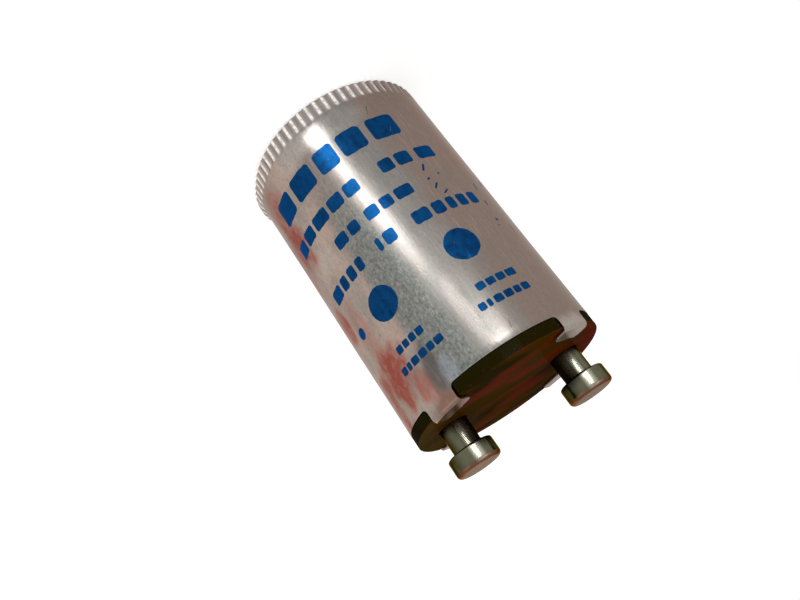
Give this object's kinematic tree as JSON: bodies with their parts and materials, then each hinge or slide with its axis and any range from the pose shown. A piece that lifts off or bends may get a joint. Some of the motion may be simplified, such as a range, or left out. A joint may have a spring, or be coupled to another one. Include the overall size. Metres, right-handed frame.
{
  "type": "fluorescent starter",
  "caption": "Plug-in glow-switch starter for a fluorescent lamp: a drawn aluminium can with a ribbed edge, crimped by tabs over a phenolic base with two headed contact pins.",
  "frame": {"origin": "middle of the can's flat closed end, on which the part stands", "axes": "+Z along the can's axis from the closed end to the contact pins; the two pins lie along X; the printed side faces -Y"},
  "size_m": [0.0207, 0.0204, 0.0373],
  "materials": {
    "can": "satin drawn aluminium, lightly scuffed, with blue printing",
    "liner": "plain brown insulating paper",
    "base": "glossy dark brown phenolic",
    "pins": "turned and plated, worn dull in places",
    "lugs": "plain stamped brass",
    "bulb_glass": "clear lamp glass",
    "leads": "tinned wire",
    "bimetal": "rolled bimetal strip",
    "capacitor": "dipped, ochre"
  },
  "bodies": {
    "root": {"can": "can", "insulating_liner": "liner", "base_disc": "base", "contact_pin_left": "pins", "contact_pin_right": "pins", "solder_lug_left": "lugs", "solder_lug_right": "lugs", "glow_bulb_envelope": "bulb_glass", "glow_bulb_stem": "bulb_glass", "electrode_lead": "leads", "bimetal_lead": "leads", "bimetal_strip": "bimetal", "capacitor_body": "capacitor", "capacitor_lead_left": "leads", "capacitor_lead_right": "leads"}
  },
  "joints": []
}
